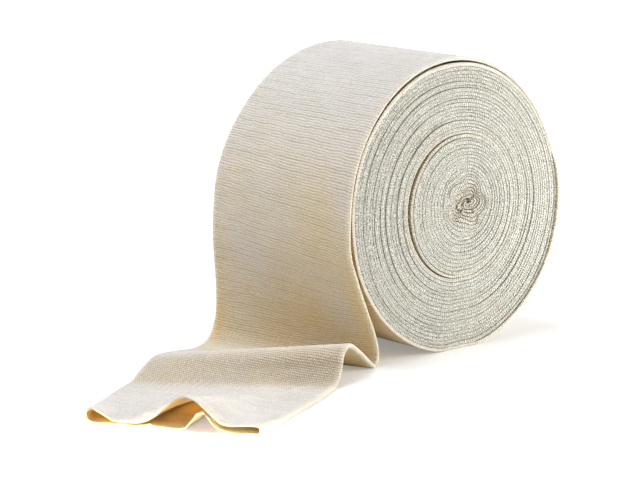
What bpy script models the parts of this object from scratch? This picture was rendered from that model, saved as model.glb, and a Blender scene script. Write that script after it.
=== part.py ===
"""Tubular bandage: one length of knitted elastic tube, pressed flat and wound on itself.

The tube has no core under it. Forty pressed turns make a firm, slightly oval pack that stands on its
curved side. The last turn is slack: it lifts off the pack past the top, hangs down one side, runs along
the floor over a low hump and ends in the tube's cut mouth, whose walls stand apart.

Metres, +Z up. The roll's axis lies along Y, the free end points to -X and turns towards -Y, and the origin
is on the floor under the middle of the roll. All lengths of cloth are one tube in the real thing. They are
two solids here, the wound pack and the loose end, with a fine gap where the loose turn lifts off.
"""

import math

import bpy
import numpy as np

FLAT_WIDTH = 0.1000      # the tube pressed flat
ROLL_RADIUS = 0.0782     # mean radius of the wound pack, to the outside of its last turn
TURNS = 39               # full turns between the eye and the place where the loose turn lifts off
EYE_RADIUS = 0.0016      # inner face of the first turn
CLEARANCE = 0.0003       # air between neighbouring turns and between the two solids
WALL = 0.0010            # one wall of the loose tube
INNER_GAP = 0.0003       # air between the two walls where the loose tube lies flat
SQUASH = 0.0012          # how far the pack's own weight presses its underside flat
EYE_ASIDE = 0.0080       # the eye sits off the middle, towards +X
EYE_UP = 0.0025          # and above it
SLACK = 0.0018           # widest air in the slack winding half way out
SLACK_AT = 0.46          # radius of that winding, as a share of the roll's radius
SLACK_ANGLE = 190.0      # side on which it is widest, degrees from +X towards +Z
CRUMPLE = 0.22           # how far the first turns are crushed out of round
CRUMPLE_REACH = 0.0060   # radius over which that dies away
LIFT_OFF = 52.5          # where the loose turn leaves the pack, degrees from +X towards +Z
MOUTH_HEIGHT = 0.0168    # top of the arch in the cut mouth

COARSE, MIDDLE, FINE = 12, 24, 48          # facets a turn near the eye, in the body and outside
COARSE_TO, MIDDLE_TO = 0.19, 0.965         # shares of the roll's radius where they change

# Outline of the pack, out of round as it stands: angle, radius as a share of ROLL_RADIUS.
OUTLINE = {
    0: 1.012, 30: 0.980, 60: 0.988, 90: 0.999, 120: 1.012, 150: 1.000,
    180: 0.976, 210: 0.972, 240: 0.982, 270: 1.002, 300: 1.012, 330: 1.020,
}

# The slack turn over the pack: degrees past LIFT_OFF, then how far each end of the line across the tube
# stands off the pack, as a share of ROLL_RADIUS.
SLACK_TURN = [
    # past, near, far
    (0.0, 0.0000, 0.0000),
    (13.0, 0.0060, 0.0130),
    (28.0, 0.0140, 0.0270),
    (43.0, 0.0190, 0.0190),
    (58.0, 0.0210, 0.0080),
    (73.0, 0.0200, 0.0060),
    (88.0, 0.0170, 0.0160),
    (103.0, 0.0130, 0.0440),
    (118.0, 0.0120, 0.0800),
]

# The loose end below that: lines across the tube, each from its near fold to its far fold.
# x and z are shares of ROLL_RADIUS, y of FLAT_WIDTH, z is the underside's height over the floor,
# arch is the share of the mouth's shape reached there.
LOOSE_END = [
    # near x, near y, near z, far x, far y, far z, arch
    ("side", -0.988, -0.500, 0.800, -1.082, 0.500, 0.780, 0.00),
    ("side_low", -0.922, -0.500, 0.585, -1.071, 0.500, 0.560, 0.00),
    ("hang", -0.842, -0.500, 0.392, -1.062, 0.498, 0.390, 0.00),
    ("hang_low", -0.776, -0.498, 0.245, -1.067, 0.494, 0.245, 0.00),
    ("turn_in", -0.731, -0.492, 0.128, -1.093, 0.486, 0.134, 0.00),
    ("curl", -0.718, -0.487, 0.052, -1.152, 0.470, 0.046, 0.00),
    ("valley", -0.758, -0.502, 0.000, -1.253, 0.440, 0.000, 0.00),
    ("rise", -0.830, -0.524, 0.040, -1.420, 0.382, 0.005, 0.00),
    ("climb", -0.963, -0.563, 0.140, -1.624, 0.305, 0.044, 0.00),
    ("crest", -1.107, -0.608, 0.222, -1.881, 0.208, 0.084, 0.00),
    ("over", -1.192, -0.632, 0.186, -1.996, 0.164, 0.070, 0.00),
    ("down", -1.243, -0.652, 0.083, -2.099, 0.124, 0.040, 0.00),
    ("foot", -1.343, -0.690, 0.000, -2.239, 0.065, 0.000, 0.04),
    ("flat", -1.604, -0.797, 0.000, -2.445, -0.026, 0.000, 0.16),
    ("flat_half", -1.861, -0.882, 0.000, -2.633, -0.120, 0.000, 0.40),
    ("flat_end", -2.119, -0.975, 0.000, -2.792, -0.232, 0.000, 0.72),
    ("mouth", -2.360, -1.040, 0.000, -2.928, -0.345, 0.000, 1.00),
]
TWO_FACETS = ("valley", "rise", "crest")    # lines with a second facet between them and the line before

# The cut mouth from its far fold to its near fold: share across, top of the upper wall and underside of
# the lower wall, both as shares of MOUTH_HEIGHT.
MOUTH = [
    # across, top, underside
    (0.00, 0.480, 0.000),
    (0.06, 0.340, 0.000),
    (0.13, 0.170, 0.000),
    (0.22, 0.155, 0.000),
    (0.31, 0.205, 0.000),
    (0.39, 0.390, 0.000),
    (0.45, 0.680, 0.000),
    (0.51, 0.905, 0.000),
    (0.57, 1.000, 0.035),
    (0.62, 0.945, 0.320),
    (0.67, 0.785, 0.565),
    (0.72, 0.560, 0.330),
    (0.78, 0.330, 0.080),
    (0.86, 0.275, 0.000),
    (0.94, 0.320, 0.000),
    (1.00, 0.330, 0.000),
]

TURN = 2 * math.pi
PITCH = (ROLL_RADIUS - EYE_RADIUS) / (TURNS + 1)
START = math.radians(LIFT_OFF)
END = START + TURN * TURNS
STACK = 2 * WALL + INNER_GAP             # the flat tube's whole thickness
RISE = ROLL_RADIUS * OUTLINE[270] - PITCH / 2 - SQUASH      # height of the roll's middle over the floor


def through_rows(at, rows, closed=False):
    """Smooth values between rows at the whole numbers 0, 1, 2: a cubic that passes through every row."""
    rows = np.asarray(rows, float)
    low = np.floor(at).astype(int)
    if not closed:
        low = np.clip(low, 0, len(rows) - 2)
    part = (at - low).reshape(-1, *[1] * (rows.ndim - 1))
    ahead = [low + step for step in (-1, 0, 1, 2)]
    if closed:
        a, b, c, d = (rows[i % len(rows)] for i in ahead)
    else:
        a, b, c, d = (rows[np.clip(i, 0, len(rows) - 1)] for i in ahead)
    return b + part / 2 * (c - a + part * (2 * a - 5 * b + 4 * c - d + part * (3 * (b - c) + d - a)))


def out_of_round(angle):
    """Radius of the pack's outline at each angle, as a share of ROLL_RADIUS."""
    rows = list(OUTLINE.values())
    return through_rows(np.mod(angle, TURN) / TURN * len(rows), rows, closed=True)


def winding_face(wound, slack_open):
    """Inner face of the winding at each winding angle: x and height from the roll's middle.

    The radius grows by one PITCH a turn. It takes the pack's outline in proportion to the radius, the
    crushed lobes near the eye and, outside the slack winding, that winding's extra air.
    """
    grown = EYE_RADIUS + PITCH * (wound - START) / TURN
    share = np.clip(grown / ROLL_RADIUS, 0, 1)
    radius = grown * (1 + (out_of_round(wound) - 1) * share)
    lobes = 0.6 * np.cos(3 * wound) + 0.4 * np.cos(2 * wound + 1)
    radius = radius * (1 + CRUMPLE * np.exp(-grown / CRUMPLE_REACH) * lobes)
    side = np.maximum(0, np.cos(wound - math.radians(SLACK_ANGLE)))
    radius = radius + slack_open * SLACK * side * (1 - share) / (1 - SLACK_AT)
    aside = (1 - share) ** 1.5
    return EYE_ASIDE * aside + radius * np.cos(wound), EYE_UP * aside + radius * np.sin(wound)


def pressed_flat(x, z, wound):
    """Raise what the floor would cut off the round: heights shrink where the rim would pass below it."""
    lap = np.mod(wound - START, TURN) / TURN
    rim = (ROLL_RADIUS - PITCH * (1 - lap)) * out_of_round(wound) - CLEARANCE
    drop = rim * np.maximum(-np.sin(wound), 0)
    squeeze = np.minimum(1, RISE / np.maximum(drop, RISE / 2))
    return x, np.where(z < 0, z * squeeze, z)


def winding_angles():
    """Winding angles of the facets: coarse near the eye, finer outwards, each set inside the next."""
    laps = [(TURNS + 1) * share for share in (COARSE_TO, MIDDLE_TO)]
    coarse, middle = (START + TURN * round(lap) for lap in laps)
    parts = [
        np.arange(START, coarse - 1e-6, TURN / COARSE),
        np.arange(coarse, middle - 1e-6, TURN / MIDDLE),
        np.arange(middle, END + 1e-6, TURN / FINE),
    ]
    return np.concatenate(parts)


def new_material(name, colour, roughness):
    material = bpy.data.materials.new(name)
    material.use_nodes = True
    shader = material.node_tree.nodes["Principled BSDF"]
    shader.inputs["Base Color"].default_value = (*colour, 1.0)
    shader.inputs["Roughness"].default_value = roughness
    return material


def new_object(name, points, faces, material, collection):
    mesh = bpy.data.meshes.new(name)
    mesh.from_pydata([tuple(map(float, p)) for p in points], [], [tuple(map(int, f)) for f in faces])
    mesh.validate()
    mesh.materials.append(material)
    piece = bpy.data.objects.new(name, mesh)
    collection.objects.link(piece)
    return piece


def ring_faces(rings, around, offset=0, outward=True):
    """Quads between rings of equal length, each ring closed on itself."""
    ring, place = np.meshgrid(np.arange(rings - 1), np.arange(around), indexing="ij")
    ahead = (place + 1) % around
    quads = [ring * around + place, (ring + 1) * around + place, (ring + 1) * around + ahead, ring * around + ahead]
    quads = np.stack(quads, -1).reshape(-1, 4) + offset
    return quads if outward else quads[:, ::-1]


def wound_turns(collection, material):
    """The pack: a pressed tube wound as one spiral band, each turn filling its room less the clearance."""
    wound = winding_angles()
    gap_from = START + TURN * round((TURNS + 1) * SLACK_AT) + math.radians(SLACK_ANGLE + 180 - LIFT_OFF)
    outside = (wound >= gap_from - 1e-6).astype(float)
    inner = np.stack(pressed_flat(*winding_face(wound, outside), wound), -1)
    outer = np.stack(pressed_flat(*winding_face(wound + TURN, outside), wound), -1)
    radial = np.stack([np.cos(wound), np.sin(wound)], -1)
    outer = outer - radial * CLEARANCE
    outer[:, 1] = np.where(outer[:, 1] < CLEARANCE / 4 - RISE, -RISE, outer[:, 1])
    half = FLAT_WIDTH / 2
    corners = [(inner, -half), (outer, -half), (outer, half), (inner, half)]
    ring = [np.stack([line[:, 0], np.full(len(line), y), line[:, 1] + RISE], -1) for line, y in corners]
    points = np.stack(ring, 1).reshape(-1, 3)
    faces = ring_faces(len(wound), 4, outward=False).tolist()
    last = 4 * (len(wound) - 1)
    faces += [[3, 2, 1, 0], [last, last + 1, last + 2, last + 3]]
    return new_object("wound_turns", points, faces, material, collection)


def slack_lines():
    """Near and far ends of the lines across the slack turn, while it still follows the pack."""
    past, near, far = np.array(SLACK_TURN).T
    wound = END + np.radians(past) + np.where(past == 0, CLEARANCE / ROLL_RADIUS, 0)
    x, z = winding_face(wound, 1.0)
    radius = np.hypot(x, z) + STACK / 2
    ends = []
    for lift, y in ((near, -FLAT_WIDTH / 2), (far, FLAT_WIDTH / 2)):
        off = radius + lift * ROLL_RADIUS
        ends.append(np.stack([off * np.cos(wound), np.full(len(off), y), off * np.sin(wound) + RISE], -1))
    return np.stack(ends, 1)


def loose_lines():
    """Every line across the loose end as (near, far) points, and the mouth's share at each."""
    rows = np.array([row[1:7] for row in LOOSE_END]).reshape(-1, 2, 3)
    rows = rows * (ROLL_RADIUS, FLAT_WIDTH, ROLL_RADIUS)
    rows[..., 2] += STACK / 2
    ends = np.concatenate([slack_lines(), rows])
    arch = np.array([0.0] * len(SLACK_TURN) + [row[7] for row in LOOSE_END])
    steps = [1] * (len(SLACK_TURN) - 1) + [2 if row[0] in TWO_FACETS else 1 for row in LOOSE_END]
    at = [0.0]
    for row, count in enumerate(steps):
        at += [row + (k + 1) / count for k in range(count)]
    at = np.array(at)
    at[-1] -= 1e-9
    ends = through_rows(at, ends)
    ends[..., 2] = np.maximum(ends[..., 2], STACK / 2)
    return ends, np.clip(np.interp(at, np.arange(len(arch)), arch), 0, 1)


def loose_sections():
    """Outer and inner loops of the flattened tube at each station, as arrays of points.

    A middle surface runs between the near and far folds. The lower wall lies half the stack under it and
    the upper wall half the stack over it, both along the surface's normal, and towards the mouth the lower
    wall takes its crease and the upper wall its arch. Two more points round each fold.
    """
    ends, arch = loose_lines()
    across, top, under = np.array(MOUTH).T
    near, far = ends[:, 0, None], ends[:, 1, None]
    along = far - near
    length = np.linalg.norm(along, axis=2, keepdims=True)
    along = along / length
    place = across[None, :, None]
    middle = far - along * (STACK / 2 + place * (length - STACK))
    run = np.gradient(middle, axis=0)
    normal = np.cross(along, run)
    normal /= np.linalg.norm(normal, axis=2, keepdims=True)
    crease = arch[:, None] * under * MOUTH_HEIGHT
    middle = middle + normal * crease[..., None]
    stand = np.maximum(arch[:, None] * (top - under) * MOUTH_HEIGHT - STACK, 0)
    corner = np.minimum(across, 1 - across) < 0.10
    stand = np.where(corner, stand * arch[:, None], stand)
    lower = -STACK / 2
    upper = STACK / 2 + stand

    def loop(low, high):
        bottom = middle + normal * low[..., None]
        ceiling = middle + normal * high[..., None]
        folds = []
        for side, sign in ((0, 1.0), (-1, -1.0)):
            half = (high - low)[:, side, None] / 2
            centre = (bottom[:, side] + ceiling[:, side]) / 2
            lean = [normal[:, side] * half * s for s in (-0.55, 0.55)]
            out = along[:, 0] * sign * half * 0.84
            folds.append([centre + out + part for part in lean])
        far_fold, near_fold = folds
        parts = [bottom, near_fold[0][:, None], near_fold[1][:, None], ceiling[:, ::-1]]
        parts += [far_fold[1][:, None], far_fold[0][:, None]]
        return np.concatenate(parts, axis=1)

    flat = np.full_like(upper, lower)
    outer = loop(flat, upper)
    inner = loop(flat + WALL, upper - WALL)
    return outer, inner, len(across)


def cap(count, base, outward):
    """Faces that close a loop laid out as lower wall, two fold points, upper wall, two fold points."""
    low = [base + i for i in range(count)]
    high = [base + 2 * count + 1 - i for i in range(count)]
    faces = [[low[i], low[i + 1], high[i + 1], high[i]] for i in range(count - 1)]
    faces.append([low[-1], base + count, base + count + 1, high[-1]])
    faces.append([base + 2 * count + 3, low[0], high[0], base + 2 * count + 2])
    return faces if outward else [face[::-1] for face in faces]


def loose_end(collection, material):
    """The slack turn and the free end: a hollow tube, shut where it meets the pack, open at its mouth."""
    outer, inner, count = loose_sections()
    inner = inner[1:]
    around = outer.shape[1]
    points = np.concatenate([outer.reshape(-1, 3), inner.reshape(-1, 3)])
    first_in = outer.shape[0] * around
    faces = ring_faces(outer.shape[0], around, outward=False).tolist()
    faces += ring_faces(inner.shape[0], around, first_in).tolist()
    faces += cap(count, 0, outward=False)
    faces += cap(count, first_in, outward=True)
    last_out, last_in = first_in - around, len(points) - around
    place = np.arange(around)
    ahead = (place + 1) % around
    lip = np.stack([last_out + place, last_out + ahead, last_in + ahead, last_in + place], -1)
    faces += lip.tolist()
    return new_object("loose_end", points, faces, material, collection)


def main():
    for thing in list(bpy.data.objects):
        bpy.data.objects.remove(thing, do_unlink=True)
    collection = bpy.data.collections.new("tubular_bandage")
    bpy.context.scene.collection.children.link(collection)
    wound_turns(collection, new_material("wound_knit", (0.76, 0.73, 0.64), 0.95))
    loose_end(collection, new_material("loose_knit", (0.80, 0.74, 0.62), 0.95))


main()
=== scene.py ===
# %% [markdown]
# # A roll of tubular bandage
#
# The object is one length of seamless knitted tube, ecru cotton with elastic, pressed flat and wound on
# itself. It stands on its curved side. The last turn is slack, and the free end runs over a low hump on
# the floor to the cut mouth of the tube. Everything here is cloth, so the lesson is about two things: how
# a long band is laid along a curve with array arithmetic, and how a knit gets its look.

# %% Tools
import math

import bpy
import numpy as np
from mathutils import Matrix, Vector


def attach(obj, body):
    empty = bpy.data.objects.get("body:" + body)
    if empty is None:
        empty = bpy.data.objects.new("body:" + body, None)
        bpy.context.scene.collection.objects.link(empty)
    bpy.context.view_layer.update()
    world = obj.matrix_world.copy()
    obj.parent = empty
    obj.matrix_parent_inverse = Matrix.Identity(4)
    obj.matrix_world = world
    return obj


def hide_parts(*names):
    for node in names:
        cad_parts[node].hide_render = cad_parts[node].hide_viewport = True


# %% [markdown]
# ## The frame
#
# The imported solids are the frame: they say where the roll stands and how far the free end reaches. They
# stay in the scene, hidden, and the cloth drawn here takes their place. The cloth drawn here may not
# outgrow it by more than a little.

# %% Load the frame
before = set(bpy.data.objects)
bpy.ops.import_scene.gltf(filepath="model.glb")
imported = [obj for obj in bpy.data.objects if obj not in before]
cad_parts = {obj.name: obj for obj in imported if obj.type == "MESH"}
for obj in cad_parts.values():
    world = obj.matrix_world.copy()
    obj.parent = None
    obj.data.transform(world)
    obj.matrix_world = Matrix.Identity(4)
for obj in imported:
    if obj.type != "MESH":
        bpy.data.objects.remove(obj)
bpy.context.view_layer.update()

# %% [markdown]
# ## Sizes
#
# The sizes are those of the solids, repeated in metres. The tube is 100 mm wide pressed flat, and forty
# turns of it build a roll 156 mm across. The two tables hold the slack turn and the free end as lines laid
# across the tube, each from its near fold to its far fold.

# %% Sizes of the roll
FLAT_WIDTH = 0.1000
ROLL_RADIUS = 0.0782
TURNS = 39
EYE_RADIUS = 0.0016
CLEARANCE = 0.0003
WALL = 0.0010
INNER_GAP = 0.0003
SQUASH = 0.0012
EYE_ASIDE, EYE_UP = 0.0080, 0.0025
SLACK, SLACK_AT, SLACK_ANGLE = 0.0014, 0.46, 178.0
CRUMPLE, CRUMPLE_REACH = 0.22, 0.0060
LIFT_OFF = 52.5
UNEVEN = 0.00028
EYE_TURN = 0.8            # the first turn starts this much sooner than in the solid, and fills the eye
# The crumpled first turns by radius: the radius, then how far they buckle in and out, and how far aside.
BUCKLE = [
    (0.0000, 0.0000, 0.00), (0.0022, 0.0009, 0.10), (0.0042, 0.0024, 0.22), (0.0100, 0.0030, 0.15),
    (0.0145, 0.0013, 0.05), (0.0190, 0.0000, 0.00),
]
MOUTH_HEIGHT = 0.0168
OUTLINE = {
    0: 1.012, 30: 0.980, 60: 0.988, 90: 0.999, 120: 1.012, 150: 1.000,
    180: 0.976, 210: 0.972, 240: 0.982, 270: 1.002, 300: 1.012, 330: 1.020,
}
TURN = 2 * math.pi
PITCH = (ROLL_RADIUS - EYE_RADIUS) / (TURNS + 1)
START = math.radians(LIFT_OFF)
END = START + TURN * TURNS
STACK = 2 * WALL + INNER_GAP
PRESSED = PITCH - CLEARANCE
RISE = ROLL_RADIUS * OUTLINE[270] - PITCH / 2 - SQUASH
print("one turn adds", round(PITCH * 1000, 3), "mm, middle of the roll at", round(RISE * 1000, 1), "mm")

# %% Lines across the slack turn and the free end
SLACK_TURN = [
    # degrees past the lift-off, then how far the near and far folds stand off, as shares of ROLL_RADIUS
    (0.0, 0.0000, 0.0000),
    (13.0, 0.0045, 0.0125),
    (28.0, 0.0110, 0.0260),
    (43.0, 0.0190, 0.0190),
    (58.0, 0.0210, 0.0080),
    (73.0, 0.0200, 0.0060),
    (88.0, 0.0170, 0.0160),
    (103.0, 0.0130, 0.0440),
    (118.0, 0.0120, 0.0800),
]
FREE_END = [
    # near x, y, z and far x, y, z: x and z as shares of ROLL_RADIUS, y of FLAT_WIDTH, then the arch
    ("side", -0.988, -0.500, 0.800, -1.082, 0.500, 0.780, 0.00),
    ("side_low", -0.922, -0.500, 0.585, -1.071, 0.500, 0.560, 0.00),
    ("hang", -0.842, -0.500, 0.392, -1.062, 0.498, 0.390, 0.00),
    ("hang_low", -0.776, -0.498, 0.245, -1.067, 0.494, 0.245, 0.00),
    ("turn_in", -0.731, -0.492, 0.128, -1.093, 0.486, 0.134, 0.00),
    ("curl", -0.718, -0.487, 0.052, -1.152, 0.470, 0.046, 0.00),
    ("valley", -0.758, -0.502, 0.000, -1.253, 0.440, 0.000, 0.00),
    ("rise", -0.830, -0.524, 0.040, -1.420, 0.382, 0.005, 0.00),
    ("climb", -0.963, -0.563, 0.140, -1.624, 0.305, 0.044, 0.00),
    ("crest", -1.107, -0.608, 0.222, -1.881, 0.208, 0.084, 0.00),
    ("over", -1.192, -0.632, 0.186, -1.996, 0.164, 0.070, 0.00),
    ("down", -1.243, -0.652, 0.083, -2.099, 0.124, 0.040, 0.00),
    ("foot", -1.343, -0.690, 0.000, -2.239, 0.065, 0.000, 0.04),
    ("flat", -1.604, -0.797, 0.000, -2.445, -0.026, 0.000, 0.16),
    ("flat_half", -1.861, -0.882, 0.000, -2.633, -0.120, 0.000, 0.40),
    ("flat_end", -2.119, -0.975, 0.000, -2.792, -0.232, 0.000, 0.72),
    ("mouth", -2.360, -1.040, 0.000, -2.928, -0.345, 0.000, 1.00),
]
MOUTH = [
    # share across from the far fold, top of the upper wall and underside of the lower, of MOUTH_HEIGHT
    (0.00, 0.480, 0.000), (0.06, 0.340, 0.000), (0.13, 0.170, 0.000), (0.22, 0.155, 0.000),
    (0.31, 0.205, 0.000), (0.39, 0.390, 0.000), (0.45, 0.680, 0.000), (0.51, 0.905, 0.000),
    (0.57, 1.000, 0.035), (0.62, 0.945, 0.320), (0.67, 0.785, 0.565), (0.72, 0.560, 0.330),
    (0.78, 0.330, 0.080), (0.86, 0.275, 0.000), (0.94, 0.320, 0.000), (1.00, 0.330, 0.000),
]

# %% [markdown]
# ## Smooth curves and slow noise
#
# Two small tools serve every shape below. The first draws a cubic through rows of a table, so a short
# table makes a smooth curve. The second is noise that changes slowly along a line or over a surface: a
# row of random values, read between its neighbours by the same cubic. The seed is fixed, so each run
# gives the same cloth.


# %% Cubic through rows
def through_rows(at, rows, closed=False):
    """Values between rows at the whole numbers 0, 1, 2: the cubic that passes through every row.

    Between rows b and c, with a before and d after, and t the way between: b plus half of t times
    (c - a), plus half of t squared times (2a - 5b + 4c - d), plus half of t cubed times (3b - 3c + d - a).
    """
    rows = np.asarray(rows, float)
    at = np.asarray(at, float)
    low = np.floor(at).astype(int)
    if not closed:
        low = np.clip(low, 0, len(rows) - 2)
    part = (at - low).reshape(at.shape + (1,) * (rows.ndim - 1))
    ahead = [low + step for step in (-1, 0, 1, 2)]
    if closed:
        a, b, c, d = (rows[i % len(rows)] for i in ahead)
    else:
        a, b, c, d = (rows[np.clip(i, 0, len(rows) - 1)] for i in ahead)
    return b + part / 2 * (c - a + part * (2 * a - 5 * b + 4 * c - d + part * (3 * (b - c) + d - a)))


def between(at, knots, values):
    """The same cubic for rows at uneven places: each place is first turned into its row number."""
    return through_rows(np.interp(at, knots, np.arange(len(knots))), values)


# %% Slow noise along a line and over a surface
def noise_along(length, seed):
    """Noise about one unit long and from about -1 to 1: a row of random values joined by the cubic."""
    values = np.random.default_rng(seed).uniform(-1, 1, 4096)
    return through_rows(np.mod(length, 4096), values, closed=True)


def noise_over(across, along, seed):
    """Noise over a surface: two rows of values slide past each other, one along and one aslant."""
    first = noise_along(along + 0.37 * across, seed)
    second = noise_along(across - 0.41 * along, seed + 1)
    third = noise_along(0.83 * (across + along), seed + 2)
    return (first + second + third) / 1.7


print("noise", np.round(noise_along(np.linspace(0, 3, 4), 1), 3))

# %% [markdown]
# ## The line that the winding follows
#
# A wound tape is a spiral: each turn lies one thickness further out. A bought roll is never a perfect
# one. This one stands a little oval, its eye sits off the middle, the first turns are crushed, and half
# way out one turn went on slack and left a crescent of air. All of that can be a change to the radius, so
# the spiral stays one formula, and the turns can't cross, because each takes its outer face from the next.


# %% The spiral
def out_of_round(angle):
    """Radius of the roll's outline at each angle, as a share of ROLL_RADIUS."""
    rows = list(OUTLINE.values())
    return through_rows(np.mod(angle, TURN) / TURN * len(rows), rows, closed=True)


def winding_face(wound, slack_open):
    """Inner face of the winding at each winding angle: x and height from the roll's middle.

    The radius is the eye's plus one PITCH a turn, times the outline, times the crushed lobes, which fade
    with the radius, plus the slack winding's air outside it.
    """
    grown = EYE_RADIUS + PITCH * (wound - START) / TURN
    share = np.clip(grown / ROLL_RADIUS, 0, 1)
    radius = grown * (1 + (out_of_round(wound) - 1) * share)
    lobes = 0.6 * np.cos(3 * wound) + 0.4 * np.cos(2 * wound + 1)
    radius = radius * (1 + CRUMPLE * np.exp(-grown / CRUMPLE_REACH) * lobes)
    at, deep, sideways = np.array(BUCKLE).T
    buckle = 0.55 * np.cos(4.98 * wound + 1) + 0.35 * np.cos(7.02 * wound + 0.4) + 0.35 * np.cos(3.01 * wound + 2)
    radius = radius + np.interp(grown, at, deep) * buckle
    turned = wound + np.interp(grown, at, sideways) * np.sin(4.98 * wound + 1 + TURN / 8)
    side = np.maximum(0, np.cos(wound - math.radians(SLACK_ANGLE)))
    radius = radius + slack_open * SLACK * side * (1 - share) / (1 - SLACK_AT)
    fade = np.clip(np.minimum(share / 0.1, (1 - share) / 0.05), 0, 1)
    radius = radius + fade * UNEVEN * noise_along(grown * wound / 0.037, 5)
    aside = (1 - share) ** 1.5
    return EYE_ASIDE * aside + radius * np.cos(turned), EYE_UP * aside + radius * np.sin(turned)


def pressed_flat(x, z, wound):
    """Raise what the floor would cut off: heights shrink where the rim would pass below the floor."""
    lap = np.mod(wound - START, TURN) / TURN
    rim = (ROLL_RADIUS - PITCH * (1 - lap)) * out_of_round(wound) - CLEARANCE
    drop = rim * np.maximum(-np.sin(wound), 0)
    squeeze = np.minimum(1, RISE / np.maximum(drop, RISE / 2))
    return x, np.where(z < 0, z * squeeze, z)


# %% [markdown]
# ## From a grid of points to a mesh
#
# Both pieces are tubes: loops of points carried along a path. The grid of points goes into the mesh in
# one call, and so does the map of stitches. Its first number counts the rows of the knit along the tube
# and its second counts the stitches round it, so the same knit fits every piece whatever its bend.

# %% Mesh from loops
COURSE = 0.00143      # from one row of the knit to the next, along the tube
WALE = 0.0012         # from one stitch to the next, round the tube


def loop_quads(loops, around):
    """Corners of the quads between neighbouring loops, and the same with the seam's far side counted on."""
    loop, place = np.meshgrid(np.arange(loops - 1), np.arange(around), indexing="ij")
    corners = [(loop, place), (loop, place + 1), (loop + 1, place + 1), (loop + 1, place)]
    points = np.stack([a * around + b % around for a, b in corners], -1).reshape(-1, 4)
    stitches = np.stack([a * (around + 1) + b for a, b in corners], -1).reshape(-1, 4)
    return points, stitches


def new_piece(name, points, faces, stitch_at, stitch_of, materials, finish, **marks):
    """A mesh object from arrays: points, faces of any size, and each face corner's place in the knit.

    finish says for each face which of the materials it has. marks are numbers for each point, which the
    finish reads by their names. The last two faces close the tube's ends: they are flat, so that the
    cloth beside them keeps its own shading.
    """
    mesh = bpy.data.meshes.new(name)
    sizes = np.array([len(face) for face in faces])
    corners = np.concatenate(faces)
    mesh.vertices.add(len(points))
    mesh.vertices.foreach_set("co", np.ascontiguousarray(points, np.float32).ravel())
    mesh.loops.add(len(corners))
    mesh.loops.foreach_set("vertex_index", corners.astype(np.int32))
    mesh.polygons.add(len(sizes))
    mesh.polygons.foreach_set("loop_start", (np.cumsum(sizes) - sizes).astype(np.int32))
    mesh.polygons.foreach_set("use_smooth", np.arange(len(sizes)) < len(sizes) - 2)
    mesh.polygons.foreach_set("material_index", np.ascontiguousarray(finish, np.int32))
    mesh.update(calc_edges=True)
    knit_map = mesh.uv_layers.new(name="stitches")
    knit_map.data.foreach_set("uv", np.ascontiguousarray(stitch_at[stitch_of], np.float32).ravel())
    for mark, values in marks.items():
        layer = mesh.attributes.new(mark, "FLOAT", "POINT")
        layer.data.foreach_set("value", np.ascontiguousarray(values, np.float32).ravel())
    for material in materials:
        mesh.materials.append(material)
    mesh.validate()
    piece = bpy.data.objects.new(name, mesh)
    bpy.context.scene.collection.objects.link(piece)
    triangles = int((sizes - 2).sum())
    print(name, len(points), "points", triangles, "triangles")
    return piece


# %% [markdown]
# ## The knit's finish
#
# The knit is matt, pale and slightly fuzzy. Light gets into it: a thread lit from one side glows warm on
# the other, and a fold that light can only reach through the cloth turns ochre. So the shader is mostly
# diffuse with some light carried below the surface, further for red than for blue, and a thin sheen for
# the fuzz, which pales the cloth where it is seen edge on. Beyond that, light and shade are painted into
# the colour by marks on the points: a painted warm shade, ochre, where light would only come through the
# cloth; a painted warm tint along the side folds, for light coming through the thin fold; and a painted
# shade, dark brown, in deep gaps, in the core and under the slack turn.
#
# The stitches could be an image, but a formula stays sharp at any size. Rows of the knit are a sine of
# the first number of the stitch map, stitches a sine of the second, shifted by half a stitch from row to
# row, and their product leaves a small dark hole between the loops.


# %% A small net of shader nodes
class Net:
    """Adds nodes to a material and joins them, so that a formula reads as one line."""

    def __init__(self, material, shader="Principled BSDF"):
        material.use_nodes = True
        self.tree = material.node_tree
        self.shader = self.tree.nodes[shader]

    def node(self, kind, **settings):
        made = self.tree.nodes.new(kind)
        for key, value in settings.items():
            setattr(made, key, value)
        return made

    def put(self, value, socket):
        if isinstance(value, bpy.types.NodeSocket):
            self.tree.links.new(value, socket)
        else:
            socket.default_value = value

    def math(self, operation, *values):
        made = self.node("ShaderNodeMath", operation=operation)
        for value, socket in zip(values, made.inputs):
            self.put(value, socket)
        return made.outputs[0]

    def mix(self, share, low, high):
        made = self.node("ShaderNodeMix", data_type="RGBA")
        self.put(share, made.inputs[0])
        self.put(low, made.inputs[6])
        self.put(high, made.inputs[7])
        return made.outputs[2]

    def stretch(self, value, low, high):
        """0 at low and 1 at high, held between them."""
        made = self.node("ShaderNodeMapRange")
        made.clamp = True
        for number, place in zip((low, high), (1, 2)):
            made.inputs[place].default_value = number
        self.put(value, made.inputs[0])
        return made.outputs[0]

    def noise(self, vector, scale, detail=3.0):
        made = self.node("ShaderNodeTexNoise")
        made.inputs["Scale"].default_value = scale
        made.inputs["Detail"].default_value = detail
        self.put(vector, made.inputs["Vector"])
        return made.outputs["Fac"]


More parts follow.
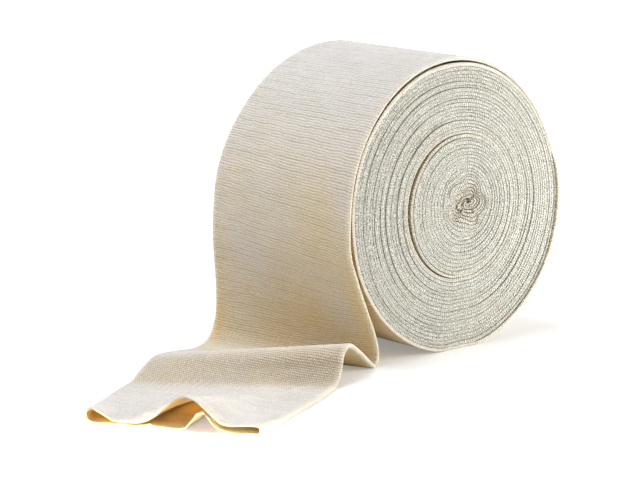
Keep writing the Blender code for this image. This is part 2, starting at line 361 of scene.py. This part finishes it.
# %% Knit material
def knit_material(name, thread, hollow, stagger, row_share, depth, speckle, glow, reach_in):
    """Knit in one colour: thread on the loops, hollow between them, depth of the relief in metres.

    The height of the cloth is the row's rib times row_share, plus the single stitch times the rest, plus
    fuzz. Between the rows runs a thin dark line, stronger in one row than in the next, and where the
    attribute open says that the knit is stretched, a hole shows beside each stitch. Every row starts
    stagger of a stitch further on. speckle is the share of plain grain in the colour. Three marks on the
    points paint light and shade into the colour: a painted warm shade, ochre, where light would only come
    through the cloth; a painted warm tint, a warmer cream, along the side folds, for light coming through
    the thin fold; and a painted shade, dark brown, in the deep gaps between turns, in the core and under
    the slack turn.
    """
    material = bpy.data.materials.new(name)
    net = Net(material)
    place = net.node("ShaderNodeUVMap", uv_map="stitches").outputs[0]
    where = net.node("ShaderNodeTexCoord").outputs["Object"]
    split = net.node("ShaderNodeSeparateXYZ")
    net.put(place, split.inputs[0])
    grain = net.noise(where, 1500.0, 2.0)
    drift = net.noise(where, 160.0, 2.0)
    row = net.math("MULTIPLY_ADD", net.math("SUBTRACT", drift, 0.5), 0.9, split.outputs[0])
    stitch = net.math("MULTIPLY_ADD", net.math("SUBTRACT", grain, 0.5), 0.9, split.outputs[1])
    rib = net.math("MULTIPLY_ADD", net.math("COSINE", net.math("MULTIPLY", row, TURN)), 0.5, 0.5)
    shifted = net.math("MULTIPLY_ADD", net.math("FLOOR", net.math("ADD", row, 0.5)), stagger, stitch)
    loop = net.math("MULTIPLY_ADD", net.math("COSINE", net.math("MULTIPLY", shifted, TURN)), 0.5, 0.5)
    fuzz = net.noise(where, 2600.0, 4.0)
    height = net.math("MULTIPLY", rib, row_share)
    height = net.math("MULTIPLY_ADD", net.math("MULTIPLY", loop, rib), 1 - row_share, height)
    height = net.math("MULTIPLY_ADD", fuzz, 0.3, height)
    height = net.math("MULTIPLY_ADD", grain, speckle, height)
    bump = net.node("ShaderNodeBump")
    bump.inputs["Distance"].default_value = depth
    bump.inputs["Strength"].default_value = 1.0
    net.put(height, bump.inputs["Height"])
    net.put(bump.outputs[0], net.shader.inputs["Normal"])
    along_rows = net.node("ShaderNodeVectorMath", operation="MULTIPLY")
    net.put(place, along_rows.inputs[0])
    along_rows.inputs[1].default_value = (0.55, 0.035, 0.0)
    row_by_row = net.stretch(net.noise(along_rows.outputs[0], 1.0, 2.0), 0.36, 0.64)
    line = net.math("POWER", net.math("SUBTRACT", 1.0, rib), 1.6)
    line = net.math("MULTIPLY", line, net.math("MULTIPLY_ADD", row_by_row, 0.34, 0.20))
    every_other = net.math("SINE", net.math("MULTIPLY", row, math.pi))
    line = net.math("MULTIPLY", line, net.math("MULTIPLY_ADD", every_other, 0.28, 1.0))
    stretched = net.node("ShaderNodeAttribute", attribute_name="open").outputs["Fac"]
    hole = net.math("MULTIPLY", net.math("SUBTRACT", 1.0, loop), net.math("SUBTRACT", 1.0, net.math("MULTIPLY", rib, 0.8)))
    line = net.math("MULTIPLY", line, net.math("MULTIPLY_ADD", stretched, -0.45, 1.0))
    knit = net.math("MULTIPLY_ADD", hole, stretched, line)
    spots = net.stretch(grain, 0.64, 0.34)
    dark = net.math("MULTIPLY_ADD", spots, speckle, net.math("MULTIPLY", knit, 1 - speckle))
    # Painted warm shade: the colour turns to ochre where the points' mark says light would only come through the
    # cloth.
    through = net.node("ShaderNodeAttribute", attribute_name="through").outputs["Fac"]
    colour = net.mix(dark, net.mix(through, thread, PAINTED_WARM_SHADE), net.mix(through, hollow, PAINTED_WARM_SHADE_HOLLOW))
    cloud = net.stretch(net.noise(where, 38.0, 3.0), 0.40, 0.66)
    colour = net.mix(net.math("MULTIPLY", cloud, 0.06), colour, [c * t for c, t in zip(thread, (0.93, 0.86, 0.72, 1))])
    # Painted warm tint along the side folds, standing in for light that comes through the thin fold.
    fold = net.node("ShaderNodeAttribute", attribute_name="fold").outputs["Fac"]
    colour = net.mix(net.math("MULTIPLY", fold, 0.6), colour, (0.90, 0.81, 0.66, 1))
    # Painted shade: the colour turns to dark brown in the deep gaps between turns, in the core and under the slack
    # turn.
    shade = net.node("ShaderNodeAttribute", attribute_name="buried").outputs["Fac"]
    colour = net.mix(shade, colour, PAINTED_SHADE_COLOUR)
    net.put(colour, net.shader.inputs["Base Color"])
    net.shader.inputs["Roughness"].default_value = 0.9
    net.shader.inputs["Specular IOR Level"].default_value = 0.12
    net.shader.inputs["Subsurface Weight"].default_value = glow
    net.shader.inputs["Subsurface Radius"].default_value = (1.0, 0.85, 0.70)
    net.shader.inputs["Subsurface Scale"].default_value = reach_in
    net.shader.inputs["Sheen Weight"].default_value = 0.25
    net.shader.inputs["Sheen Roughness"].default_value = 0.5
    net.shader.inputs["Sheen Tint"].default_value = (1.0, 0.99, 0.97, 1.0)
    return material


# Painted light and shade: the ochre of the painted warm shade, its darker form in the knit's hollows, and the dark
# brown of the painted shade.
PAINTED_WARM_SHADE = (0.96, 0.69, 0.27, 1)
PAINTED_WARM_SHADE_HOLLOW = (0.52, 0.33, 0.12, 1)
PAINTED_SHADE_COLOUR = (0.20, 0.14, 0.07, 1)
WOUND_KNIT = knit_material(
    "wound_knit", (0.93, 0.925, 0.85, 1), (0.22, 0.23, 0.185, 1), 0.0, 0.3, 0.00055, 0.74, 0.1, 0.0028
)
LOOSE_KNIT = knit_material(
    "loose_knit", (0.90, 0.87, 0.78, 1), (0.32, 0.25, 0.16, 1), 0.5, 0.6, 0.0004, 0.25, 0.8, 0.0028
)

# %% [markdown]
# ## The wound turns
#
# The face of the roll shows nothing but fold edges: the tube is pressed flat, so its two side folds lie
# one on another, turn after turn, like the pages of a book. A disc with rings in its bump would look the
# same from straight on and wrong from any side. Here each turn is real: a band with rounded folds,
# carried along the spiral. Its folds stand in and out by a few tenths of a millimetre, as winding by
# machine leaves them, and swell a little, so the rings close up on the face.

# %% Sizes of the folds
FOLD_DEPTH = 0.0006       # from the tip of a side fold to where the band has its full thickness
FOLD_SWELL = 1.32         # thickness of the fold over that of the band
FOLD_POINTS = 7
TIP_WANDER = 0.00035      # how far the tips stand in and out
# How far the folds stand out of the face by radius: radius as a share of ROLL_RADIUS, then metres.
STANDS_OUT = [
    (0.00, -0.0020), (0.05, -0.0008), (0.12, 0.0004), (0.24, 0.0000), (0.40, 0.0003), (0.457, 0.0005),
    (0.466, 0.0000), (0.60, -0.0002), (0.80, -0.0004), (0.93, -0.0006), (0.974, -0.0005), (0.984, 0.0008), (1.00, 0.0008),
]


# %% Winding angles and the length of cloth
def winding_angles():
    """Angles of the sections: closer together outside, where a step is longer."""
    change = START + TURN * round((TURNS + 1) * SLACK_AT)
    inner = np.arange(START - EYE_TURN * TURN, change - 1e-6, TURN / 96)
    outer = np.arange(change, END + 1e-6, TURN / 120)
    return np.concatenate([inner, outer])


wound = winding_angles()
gap_from = START + TURN * round((TURNS + 1) * SLACK_AT) + math.radians(SLACK_ANGLE + 180 - LIFT_OFF)
outside = (wound >= gap_from - 1e-6).astype(float)
inner_face = np.stack(pressed_flat(*winding_face(wound, outside), wound), -1)
outer_face = np.stack(pressed_flat(*winding_face(wound + TURN, outside), wound), -1)
radial = np.stack([np.cos(wound), np.sin(wound)], -1)
outer_face = outer_face - radial * CLEARANCE
outer_face[:, 1] = np.maximum(outer_face[:, 1], -RISE)
steps = np.linalg.norm(np.diff((inner_face + outer_face) / 2, axis=0), axis=1)
reach = np.concatenate([[0.0], np.cumsum(steps)])
reach -= reach[-1]


# %% The band along the spiral
def wound_band():
    """Points and stitch places of the band: at each section a loop of two rounded folds.

    Round a fold the point is the band's middle plus half the thickness times the sine of the angle,
    radially, and minus the fold's depth times the cosine, along the roll's axis. Where the slack turn
    stands off, the folds of the turn below it bulge into two thirds of the room.
    """
    middle = (inner_face + outer_face) / 2
    half = (outer_face - inner_face) / 2
    turn = np.linspace(-math.pi / 2, math.pi / 2, FOLD_POINTS)
    lift, tuck = np.sin(turn), np.cos(turn)
    lift, tuck = np.sign(lift) * np.abs(lift) ** 0.8, np.maximum(tuck, 0) ** 0.5
    grown = EYE_RADIUS + PITCH * (wound - START) / TURN
    crumpled = np.exp(-((grown / 0.0105) ** 4))[:, None]
    swell = 1 + (FOLD_SWELL - 1 - 0.40 * crumpled) * tuck
    past, near_lift, far_lift = np.array(SLACK_TURN).T
    past_lift_off = np.degrees(wound - END + TURN)
    bulge = np.maximum(lift, 0) * tuck
    loops = []
    for side, seed, room in ((-1, 11, near_lift), (1, 23, far_lift)):
        room = np.minimum(room * ROLL_RADIUS, 0.0017)
        room = 0.68 * np.interp(past_lift_off, [-1, *past, 150, 170], [0, *room, room[-1], 0])
        wander = 0.5 * noise_along(reach / 0.045, seed) + 0.8 * noise_along(reach / 0.23, seed + 1)
        share = np.hypot(*middle.T) / ROLL_RADIUS
        stands = np.interp(share, *np.array(STANDS_OUT).T)
        tip = FLAT_WIDTH / 2 - TIP_WANDER * (1 + wander * (1 + 1.5 * crumpled[:, 0])) + stands
        y = side * (tip[:, None] - FOLD_DEPTH * (1 - tuck))
        across = middle[:, None] + half[:, None] * (lift * swell)[..., None]
        across = across + radial[:, None] * (room[:, None] * bulge)[..., None]
        points = np.stack([across[..., 0], y, across[..., 1] + RISE], -1)
        loops.append(points if side < 0 else points[:, ::-1])
    points = np.concatenate(loops, axis=1)
    points[..., 2] = np.maximum(points[..., 2], 0.0)
    ring = np.concatenate([points, points[:, :1]], axis=1)
    round_it = np.linalg.norm(np.diff(ring, axis=1), axis=2).cumsum(axis=1)
    round_it = np.concatenate([np.zeros((len(points), 1)), round_it], axis=1)
    waver = 0.5 * noise_over(round_it / 0.03, reach[:, None] / 0.05, 31)
    last = (wound - END) / TURN + 1
    rows = reach[:, None] / COURSE + waver
    narrow = np.where(last < -1e-6, 0.9, 1.0)[:, None]
    stitch = np.stack([rows, round_it / (narrow * WALE)], -1)
    return points, stitch


points, stitch = wound_band()
turn_number = (wound - START) / TURN
# The turns whose side folds get the painted warm tint: the outermost turn, and those beside the slack turn's gap.
fold_tint_turns = np.clip((turn_number - (TURNS - 1.15)) / 0.1, 0, 1)
gap_turn = (gap_from - START) / TURN
fold_tint_turns += 0.8 * np.clip(1 - np.abs(turn_number - gap_turn) / 1.1, 0, 1)
# Painted warm shade, away from the fold tips: beside the slack turn's gap, under the outermost turn on its left and
# lower side, in the core, and a little between all the inner turns.
gap_side = np.maximum(0, np.cos(wound - math.radians(SLACK_ANGLE))) ** 0.7
beside_gap = np.clip(1.6 - np.abs(turn_number - gap_turn), 0, 1) * gap_side
beside_gap += np.interp(turn_number - (TURNS - 1), (0.0, 0.08, 0.36, 0.46), (0, 1, 1, 0)) * (turn_number < TURNS - 0.5)
off_tip = 1 - np.concatenate([np.cos(np.linspace(-math.pi / 2, math.pi / 2, FOLD_POINTS))] * 2)
in_core = np.exp(-(((EYE_RADIUS + PITCH * turn_number) / 0.0125) ** 4))
outermost = turn_number >= TURNS - 1 - 1e-6
under_wall = np.interp(360 * (turn_number - TURNS + 1), (100, 135, 205, 240), (0, 0.8, 0.7, 0))
through = off_tip * (0.15 * ~outermost + under_wall + 0.35 * beside_gap + 0.45 * in_core)[:, None]
# Painted shade, darker, in the same places: mostly in the core and beside the gap.
buried = np.clip(off_tip ** 2 * (0.02 * ~outermost + 0.20 * beside_gap + 0.50 * in_core)[:, None], 0, 1)
sections, around = points.shape[:2]
quads, stitch_of = loop_quads(sections, around)
ends = [np.arange(around)[::-1], np.arange(around) + (sections - 1) * around]
end_stitch = [np.arange(around)[::-1], np.arange(around) + (sections - 1) * (around + 1)]
wound_cloth = new_piece(
    "wound_cloth",
    points.reshape(-1, 3),
    [*quads, *ends],
    stitch.reshape(-1, 2),
    np.concatenate([stitch_of.ravel(), *end_stitch]),
    [WOUND_KNIT, LOOSE_KNIT],
    np.concatenate([np.repeat(outermost[:-1], around), [0, 1]]),
    fold=fold_tint_turns[:, None] * (1 - off_tip),
    through=through,
    buried=buried,
    open=np.where(outermost, 0.2, 0.45)[:, None] * np.ones(around),
)

# %% [markdown]
# ## The loose end
#
# The slack turn and the free end are the same tube, no longer pressed. A flat sheet with thickness would
# do for most of it, but the cut mouth shows that it is a tube: the upper wall stands in an arch, the lower
# wall has a crease of its own, and small loops open at the side folds. So both walls are modelled, inside
# and out. A middle surface runs between the two folds, the walls lie on either side of it, and the arch
# fades in towards the mouth. The rows of the knit are real ribs here, because they show along the edges.

# %% Path of the loose end
STATION = 0.0004          # distance between sections, four to a row of the knit
COLUMNS = 33
FOLD_TURN = np.radians([-54.0, -18.0, 18.0, 54.0])
RIB_HEIGHT = 0.00007
# Along the loose end, as shares of its length: how much painted warm shade the lower wall gets, where light
# would only come through it, and how much the upper one gets, where it hangs in front of the dark side of
# the roll; and how open the knit is.
WARM_SHADE_BELOW = [(0.00, 0.10), (0.38, 0.10), (0.46, 0.85), (0.96, 0.85), (1.00, 0.10)]
WARM_SHADE_ABOVE = [
    (0.00, 0.00), (0.28, 0.02), (0.33, 0.10), (0.38, 0.22), (0.44, 0.33), (0.50, 0.46), (0.54, 0.68),
    (0.58, 0.88), (0.605, 0.84), (0.63, 0.50), (0.66, 0.24), (0.73, 0.10), (0.755, 0.26), (0.80, 0.28),
    (0.83, 0.04), (1.00, 0.00),
]
# By how many rows the knit runs further along at the near fold than at the far one.
SLANT = [
    (0.00, 0.0), (0.22, 1.0), (0.30, 2.0), (0.36, 3.6), (0.42, 5.0), (0.477, 5.2), (0.52, 4.4),
    (0.557, 3.0), (0.586, 2.0), (0.61, 1.4), (0.65, 1.2), (0.74, 1.5), (0.83, 0.8), (1.00, 0.0),
]
STRETCHED = [
    (0.00, 0.15), (0.30, 0.25), (0.50, 0.45), (0.58, 0.55), (0.63, 0.50), (0.73, 0.40), (0.745, 0.30),
    (0.76, 1.50), (0.805, 1.60), (0.83, 0.45), (0.88, 0.15), (1.00, 0.10),
]


def slack_lines():
    """Near and far ends of the lines across the slack turn, while it still follows the roll."""
    past, near, far = np.array(SLACK_TURN).T
    angle = END + np.radians(past)
    x, z = winding_face(angle, 1.0)
    grown = np.interp(past, past[[0, -1]], [0, 1])
    radius = np.hypot(x, z) + (PRESSED + (STACK - PRESSED) * grown) / 2
    ends = []
    for lift, y in ((near, -FLAT_WIDTH / 2), (far, FLAT_WIDTH / 2)):
        off = radius + lift * ROLL_RADIUS
        ends.append(np.stack([off * np.cos(angle), np.full(len(off), y), off * np.sin(angle) + RISE], -1))
    return np.stack(ends, 1)


def path_lines(spacing):
    """Lines across the whole loose end at even steps, with the arch's share and the stack's thickness."""
    rows = np.array([row[1:7] for row in FREE_END]).reshape(-1, 2, 3)
    rows = rows * (ROLL_RADIUS, FLAT_WIDTH, ROLL_RADIUS)
    rows[..., 2] += STACK / 2
    rows = np.concatenate([slack_lines(), rows])
    arch = np.array([0.0] * len(SLACK_TURN) + [row[7] for row in FREE_END])
    stack = np.full(len(rows), STACK)
    stack[: len(SLACK_TURN)] = np.linspace(PRESSED, STACK, len(SLACK_TURN))
    fine = np.linspace(0, len(rows) - 1 - 1e-9, 6000)
    centre = through_rows(fine, rows).mean(axis=1)
    length = np.concatenate([[0], np.cumsum(np.linalg.norm(np.diff(centre, axis=0), axis=1))])
    at = np.interp(np.linspace(0, length[-1], round(length[-1] / spacing) + 1), length, fine)
    ends = through_rows(at, rows)
    ends[..., 2] = np.maximum(ends[..., 2], STACK / 2)
    arch = np.clip(through_rows(at, arch), 0, 1)
    return ends, arch, through_rows(at, stack)


# %% Walls of the loose end
def tube_walls(spacing):
    """Outer and inner loops of the tube, and each point's place in the knit.

    The middle surface runs from the far fold to the near one. Its normal is the cross product of the way
    across and the way along. The lower wall lies half the stack below it. The upper wall lies half the
    stack above it plus the arch. Each fold is half a round between them.
    """
    ends, arch, stack = path_lines(spacing)
    across = (1 - np.cos(np.linspace(0, math.pi, COLUMNS))) / 2
    across = 0.35 * across + 0.65 * np.linspace(0, 1, COLUMNS)
    knots, top, under = np.array(MOUTH).T
    top, under = between(across, knots, top), between(across, knots, under)
    near, far = ends[:, 0, None], ends[:, 1, None]
    along = far - near
    length = np.linalg.norm(along, axis=2, keepdims=True)
    along = along / length
    thick = stack[:, None, None]
    middle = far - along * (thick / 2 + across[None, :, None] * (length - thick))
    run = np.gradient(middle, axis=0)
    normal = np.cross(along, run)
    normal /= np.linalg.norm(normal, axis=2, keepdims=True)
    reach = np.concatenate([np.zeros((1, COLUMNS)), np.linalg.norm(np.diff(middle, axis=0), axis=2).cumsum(axis=0)])
    middle = middle + normal * (arch[:, None] * np.maximum(under, 0) * MOUTH_HEIGHT)[..., None]
    stand = np.maximum(arch[:, None] * (top - under) * MOUTH_HEIGHT - stack[:, None], 0)
    corner = np.clip(1 - np.minimum(across, 1 - across) / 0.10, 0, 1)
    stand = stand * (1 - corner * (1 - arch[:, None]))
    low, high = -stack[:, None] / 2 + 0 * stand, stack[:, None] / 2 + stand
    wall = (stack[:, None] - INNER_GAP) / 2

    def loop(low, high, raised):
        bottom, ceiling = middle + normal * low[..., None], middle + normal * high[..., None]
        folds = []
        for side, sign in ((-1, -1.0), (0, 1.0)):
            half = (high - low)[:, side, None] / 2
            centre = (bottom[:, side] + ceiling[:, side]) / 2
            out = along[:, 0] * sign * half
            turns = FOLD_TURN if side else -FOLD_TURN
            bent = [centre + normal[:, side] * half * math.sin(t) + out * math.cos(t) for t in turns]
            folds.append(np.stack(bent, 1))
        points = np.concatenate([bottom, folds[0], ceiling[:, ::-1], folds[1]], axis=1)
        count = len(FOLD_TURN)
        reached = [reach, np.repeat(reach[:, -1:], count, 1), reach[:, ::-1], np.repeat(reach[:, :1], count, 1)]
        reached = np.concatenate(reached, axis=1)
        ring = np.concatenate([points, points[:, :1]], axis=1)
        round_it = np.linalg.norm(np.diff(ring, axis=1), axis=2).cumsum(axis=1)
        round_it = np.concatenate([np.zeros((len(points), 1)), round_it], axis=1)
        reached = np.concatenate([reached, reached[:, :1]], axis=1)
        side_to_side = np.concatenate([across, np.ones(count), across[::-1], np.zeros(count), across[:1]])[None, :]
        waver = 0.9 * noise_over(side_to_side * 2.4, reached / 0.055, 47) + 0.25 * noise_over(side_to_side * 8, reached / 0.016, 61)
        slant = np.interp(reached / reached.max(), *np.array(SLANT).T)
        rows = reached / COURSE - slant * side_to_side + waver
        stitch = np.stack([rows, round_it / WALE], -1)
        if raised:
            turn_ahead = np.roll(points, -1, axis=1) - np.roll(points, 1, axis=1)
            outward = np.cross(np.gradient(points, axis=0), turn_ahead)
            outward /= np.maximum(np.linalg.norm(outward, axis=2, keepdims=True), 1e-9)
            rib = RIB_HEIGHT * np.clip(reached[:, :-1] / 0.012, 0, 1) * np.cos(TURN * rows[:, :-1])
            points = points + outward * rib[..., None]
        points[..., 2] = np.maximum(points[..., 2], 0.00005 if raised else 0.0006)
        return points, stitch

    return loop(low, high, True), loop(low + wall, high - wall, False)


# %% Close the walls into one skin
def loose_skin():
    """Points, faces and knit places of the tube: outside, inside, a rounded lip at the mouth, shut at the pack.

    The lip is one more ring half way through the wall, pushed out along the tube by half a wall and
    nicked by noise, as scissors leave it.
    """
    (outer, outer_stitch), (inner, inner_stitch) = tube_walls(STATION)
    keep = np.arange(len(inner) - 1, 4, -5)[::-1]
    inner, inner_stitch = inner[keep], inner_stitch[keep]
    around = outer.shape[1]
    run = outer[-1] - outer[-9]
    run /= np.linalg.norm(run, axis=1, keepdims=True)
    nick = 0.5 + 0.35 * noise_along(outer_stitch[-1, :-1, 1] / 1.7, 71)
    lip = (outer[-1] + inner[-1]) / 2 + run * (WALL * nick)[:, None]
    lip[:, 2] = np.maximum(lip[:, 2], 0.0003)
    loops = [outer, lip[None], inner[::-1]]
    lip_stitch = (outer_stitch[-1:] + [[0.6, 0.0]])
    knit = [outer_stitch, lip_stitch, inner_stitch[::-1] + [[1.2, 0.0]]]
    points, knit = np.concatenate(loops), np.concatenate(knit)
    # The side folds of the loose end, which get the painted warm tint.
    fold = np.concatenate([np.zeros(COLUMNS - 1), np.ones(len(FOLD_TURN) + 2), np.zeros(COLUMNS - 2), np.ones(len(FOLD_TURN) + 1)])
    fold = np.broadcast_to(fold, (len(points), around)).copy()
    marks = {name: np.zeros((len(points), around)) for name in ("through", "buried", "open")}
    share = np.arange(len(outer)) / (len(outer) - 1)
    below = np.concatenate([np.ones(COLUMNS), np.zeros(around - COLUMNS)])
    # Painted warm shade inside the tube and on its lip, growing inwards from the mouth.
    inwards = np.clip(0.3 + np.arange(len(inner)) / 4.0, 0, 1)
    marks["through"][len(outer) + 1:] = inwards[:, None]
    marks["through"][len(outer)] = 0.1
    # Painted warm shade on the lower wall, strongest along the free end, and in patches on the upper wall where it
    # hangs in front of the dark side of the roll.
    hidden = np.interp(share, *np.array(WARM_SHADE_BELOW).T)
    hang = np.interp(share, *np.array(WARM_SHADE_ABOVE).T)
    place = np.arange(around)[None] / around
    patch = 0.7 + 0.5 * noise_over(place * 14.0, np.arange(len(outer))[:, None] / 55.0, 83)
    marks["through"][: len(outer)] = hidden[:, None] * below
    marks["through"][: len(outer)] += np.clip(hang[:, None] * patch, 0, 1) * (1 - below)
    # Painted shade on the lower wall of the slack turn, which lies against the roll.
    marks["buried"][: len(outer)] = np.interp(share, (0.0, 0.36, 0.42), (0.22, 0.22, 0.0))[:, None] * below
    marks["open"][: len(outer)] = np.interp(share, *np.array(STRETCHED).T)[:, None]
    quads, stitch_of = loop_quads(len(points), around)
    quads, stitch_of = quads[:, ::-1], stitch_of[:, ::-1]
    caps, caps_stitch = [], []
    for section, order in ((0, np.arange(around)), (len(points) - 1, np.arange(around)[::-1])):
        caps.append(section * around + order)
        caps_stitch.append(section * (around + 1) + order)
    return points, quads, caps, knit, stitch_of, caps_stitch, fold, marks


points, quads, caps, knit, stitch_of, caps_stitch, fold, marks = loose_skin()
loose_cloth = new_piece(
    "loose_cloth",
    points.reshape(-1, 3),
    [*quads, *caps],
    knit.reshape(-1, 2),
    np.concatenate([stitch_of.ravel(), *caps_stitch]),
    [LOOSE_KNIT],
    np.zeros(len(quads) + len(caps)),
    fold=fold,
    **marks,
)
print("loose box", np.round(points.reshape(-1, 3).min(0), 4), np.round(points.reshape(-1, 3).max(0), 4))

# %% [markdown]
# ## What the pieces are
#
# Each piece takes the place of one imported solid, which is hidden, and rides with the only body. Both are
# cloth: the wound pack is a band about ten metres long that is its own two walls pressed together, and the
# loose end is a hollow tube.

# %% Attach each piece and hide its solid
for piece, node, slot in (
    (wound_cloth, "wound_turns", "wound_knit"),
    (loose_cloth, "loose_end", "loose_knit"),
):
    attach(piece, "root")
    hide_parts(node)

# %% [markdown]
# ## Floor, light and camera
#
# A product photo on white is mostly light: a big soft source above and a little behind, white all round,
# and a floor so bright that it is nearly the background. The camera stands 1.2 m off with a long lens,
# eleven degrees above the level, and looks at the roll from the corner between its face and its side.


# %% Floor
def new_floor(half, thickness):
    """A thin slab under the cloth, its top at the floor's level."""
    corners = [(x, y, z) for z in (-thickness, 0.0) for x, y in ((-half, -half), (half, -half), (half, half), (-half, half))]
    faces = [(3, 2, 1, 0), (4, 5, 6, 7), (0, 1, 5, 4), (1, 2, 6, 5), (2, 3, 7, 6), (3, 0, 4, 7)]
    mesh = bpy.data.meshes.new("floor")
    mesh.from_pydata(corners, [], faces)
    floor = bpy.data.objects.new("floor", mesh)
    bpy.context.scene.collection.objects.link(floor)
    material = bpy.data.materials.new("pale_floor")
    net = Net(material)
    grain = net.noise(net.node("ShaderNodeTexCoord").outputs["Object"], 3.0)
    net.put(net.mix(grain, (0.87, 0.87, 0.87, 1), (0.90, 0.90, 0.90, 1)), net.shader.inputs["Base Color"])
    away = net.node("ShaderNodeVectorMath", operation="LENGTH")
    net.put(net.node("ShaderNodeTexCoord").outputs["Object"], away.inputs[0])
    net.shader.inputs["Emission Color"].default_value = (1.0, 1.0, 1.0, 1.0)
    seen = net.node("ShaderNodeLightPath").outputs["Is Camera Ray"]
    shine = net.math("MULTIPLY_ADD", net.stretch(away.outputs["Value"], 0.14, 0.62), 0.74, 0.26)
    net.put(net.math("MULTIPLY", shine, net.math("MULTIPLY_ADD", seen, 0.90, 0.10)), net.shader.inputs["Emission Strength"])
    net.shader.inputs["Roughness"].default_value = 0.6
    net.shader.inputs["Specular IOR Level"].default_value = 0.2
    mesh.materials.append(material)
    return floor


floor = new_floor(4.0, 0.01)


# %% Light
def area_light(name, place, towards, size, power, colour):
    lamp = bpy.data.lights.new(name, "AREA")
    lamp.shape = "DISK"
    lamp.size, lamp.energy, lamp.color = size, power, colour
    holder = bpy.data.objects.new(name, lamp)
    bpy.context.scene.collection.objects.link(holder)
    holder.location = place
    way = Vector(towards) - Vector(place)
    holder.rotation_euler = way.to_track_quat("-Z", "Y").to_euler()
    return holder


def slit_light(name, place, towards, sizes, power, colour, spread):
    """A wide low light with a narrow beam, which reaches into the mouth of the tube and little else."""
    holder = area_light(name, place, towards, sizes[0], power, colour)
    holder.data.shape, holder.data.size_y = "RECTANGLE", sizes[1]
    holder.data.spread = math.radians(spread)
    return holder


area_light("overhead", (-0.30, 0.30, 1.33), (-0.03, 0.0, 0.05), 1.0, 16.0, (0.95, 0.97, 1.08))
area_light("face_fill", (0.42, -0.42, 0.13), (0.04, -0.05, 0.06), 0.35, 4.0, (1.0, 1.0, 0.95))
area_light("left_fill", (-1.0, -0.1, 0.60), (-0.08, 0.0, 0.03), 0.5, 1.1, (1.0, 0.77, 0.54))
slit_light("mouth_fill", (-1.05, -0.62, 0.12), (-0.206, -0.070, 0.0), (0.095, 0.003), 0.028, (1.0, 0.68, 0.32), 0.9)
slit_light("arch_fill", (-1.05, -0.62, 0.12), (-0.204, -0.074, 0.008), (0.030, 0.002), 0.0022, (1.0, 0.75, 0.40), 0.7)


# %% White all round
def studio_world(overhead, level, strength):
    """Pure white where the camera looks past the object. As a light it goes from level to overhead."""
    world = bpy.data.worlds.new("studio")
    net = Net(world, "Background")
    seen, white = net.node("ShaderNodeLightPath").outputs["Is Camera Ray"], net.shader
    way = net.node("ShaderNodeSeparateXYZ")
    net.put(net.node("ShaderNodeTexCoord").outputs["Generated"], way.inputs[0])
    light, both = net.node("ShaderNodeBackground"), net.node("ShaderNodeMixShader")
    white.inputs["Color"].default_value = (1.0, 1.0, 1.0, 1.0)
    net.put(net.mix(net.stretch(way.outputs[2], 0.05, 0.75), level, overhead), light.inputs["Color"])
    light.inputs["Strength"].default_value = strength
    for value, socket in zip((seen, light.outputs[0], white.outputs[0]), both.inputs):
        net.put(value, socket)
    net.put(both.outputs[0], net.tree.nodes["World Output"].inputs["Surface"])
    return world


bpy.context.scene.world = studio_world((0.90, 0.96, 1.08, 1), (1.0, 0.67, 0.34, 1), 0.345)
bpy.context.scene.view_settings.view_transform = "Standard"
bpy.context.scene.view_settings.exposure = 0.0


# %% Camera
def look(place, forward, lens):
    """A camera with its place, its line of sight and its lens in millimetres."""
    view = bpy.data.cameras.new("photo_view")
    view.lens, view.sensor_width = lens, 36.0
    view.clip_start, view.clip_end = 0.05, 20.0
    holder = bpy.data.objects.new("photo_view", view)
    bpy.context.scene.collection.objects.link(holder)
    holder.location = place
    holder.rotation_euler = Vector(forward).to_track_quat("-Z", "Y").to_euler()
    return holder


bpy.context.scene.camera = look((-0.81934, -0.85209, 0.28864), (0.655665, 0.729005, -0.196627), 124.9)
